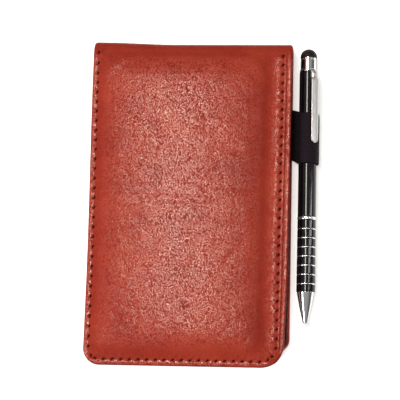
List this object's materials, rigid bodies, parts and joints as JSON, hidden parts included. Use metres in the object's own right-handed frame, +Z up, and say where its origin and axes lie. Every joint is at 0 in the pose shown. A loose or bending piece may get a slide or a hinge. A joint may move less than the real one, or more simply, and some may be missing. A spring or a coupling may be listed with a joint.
{
  "type": "pocket notebook",
  "caption": "Closed top-bound pocket notebook with a padded, stitched leather-look cover, a ruled pad, and a twist pen held in an elastic side loop.",
  "frame": {"origin": "centre of the rear cover's underside, on the surface that the notebook lies on", "axes": "+Y from the free end to the fold, +X towards the pen, +Z up through the front cover"},
  "size_m": [0.0885, 0.1267, 0.0146],
  "materials": {
    "leather": "satin",
    "lining": "matte",
    "board": "matte",
    "foam": "matte",
    "thread": "matte",
    "paper": "matte",
    "cardboard": "matte",
    "elastic": "matte",
    "rubber": "matte",
    "chrome": "polished",
    "satin_steel": "satin",
    "lacquer": "gloss",
    "plastic": "satin",
    "brass": "satin"
  },
  "bodies": {
    "rear_cover": {"rear_skin": "leather", "rear_seam_thread": "thread", "rear_board": "board", "rear_lining": "lining", "pad_sleeve": "lining", "pen_loop": "elastic", "pad_card_back": "cardboard", "paper_block": "paper", "pad_binding_tape": "lining"},
    "spine": {"spine_skin": "leather", "spine_board": "board", "spine_lining": "lining"},
    "front_cover": {"front_skin": "leather", "front_padding": "foam", "front_board": "board", "front_lining": "lining", "front_seam_thread": "thread", "large_pocket": "lining", "card_slot_long": "lining", "card_slot_short": "lining"},
    "sheet_1": {"loose_sheet_1": "paper"},
    "sheet_2": {"loose_sheet_2": "paper"},
    "sheet_3": {"loose_sheet_3": "paper"},
    "pen_upper": {"pen_stylus_dome": "rubber", "pen_stylus_collar": "chrome", "pen_clip_ring": "chrome", "pen_upper_barrel": "lacquer", "pen_centre_ring": "chrome"},
    "pen_clip": {"pen_clip": "satin_steel"},
    "pen_lower": {"pen_twist_sleeve": "brass", "pen_lower_barrel": "lacquer", "pen_nose_cone": "chrome", "pen_return_spring": "satin_steel"},
    "pen_refill": {"pen_refill_tube": "plastic", "pen_refill_tip": "brass"}
  },
  "joints": [
    {"name": "cover_open", "type": "hinge", "parent": "spine", "child": "front_cover", "pos_m": [0, 0.0598, 0.0118], "axis": [-1, 0, 0], "range_deg": [0, 80]},
    {"name": "spine_fold", "type": "hinge", "parent": "rear_cover", "child": "spine", "pos_m": [0, 0.0616, 0.0006], "axis": [-1, 0, 0], "range_deg": [0, 95]},
    {"name": "sheet_1_turn", "type": "hinge", "parent": "rear_cover", "child": "sheet_1", "pos_m": [0, 0.0468, 0.00776], "axis": [-1, 0, 0], "range_deg": [0, 160]},
    {"name": "sheet_2_turn", "type": "hinge", "parent": "rear_cover", "child": "sheet_2", "pos_m": [0, 0.0468, 0.00776], "axis": [-1, 0, 0], "range_deg": [0, 136]},
    {"name": "sheet_3_turn", "type": "hinge", "parent": "rear_cover", "child": "sheet_3", "pos_m": [0, 0.0468, 0.00776], "axis": [-1, 0, 0], "range_deg": [0, 108]},
    {"name": "pen_slide", "type": "slide", "parent": "rear_cover", "child": "pen_upper", "axis": [0, 1, 0], "range_m": [-0.0115, 0.085]},
    {"name": "clip_flex", "type": "hinge", "parent": "pen_upper", "child": "pen_clip", "pos_m": [0.04685, 0.05045, 0.00823], "axis": [-0.829, 0, 0.5592], "range_deg": [0, 8], "stiffness_Nm_per_rad": 0.6},
    {"name": "pen_twist", "type": "hinge", "parent": "pen_upper", "child": "pen_lower", "pos_m": [0.0445, 0, 0.00475], "axis": [0, 1, 0], "range_deg": [0, 180]},
    {"name": "refill_advance", "type": "slide", "parent": "pen_upper", "child": "pen_refill", "axis": [0, -1, 0], "range_m": [0, 0.005], "deforming": ["pen_return_spring"]}
  ],
  "couplings": [
    {"joint": "spine_fold", "follows": "cover_open", "ratio": 1.1875},
    {"joint": "sheet_1_turn", "follows": "cover_open", "ratio": 2},
    {"joint": "sheet_2_turn", "follows": "cover_open", "ratio": 1.7},
    {"joint": "sheet_3_turn", "follows": "cover_open", "ratio": 1.35},
    {"joint": "pen_twist", "follows": "refill_advance", "rad_per_m": 628}
  ]
}
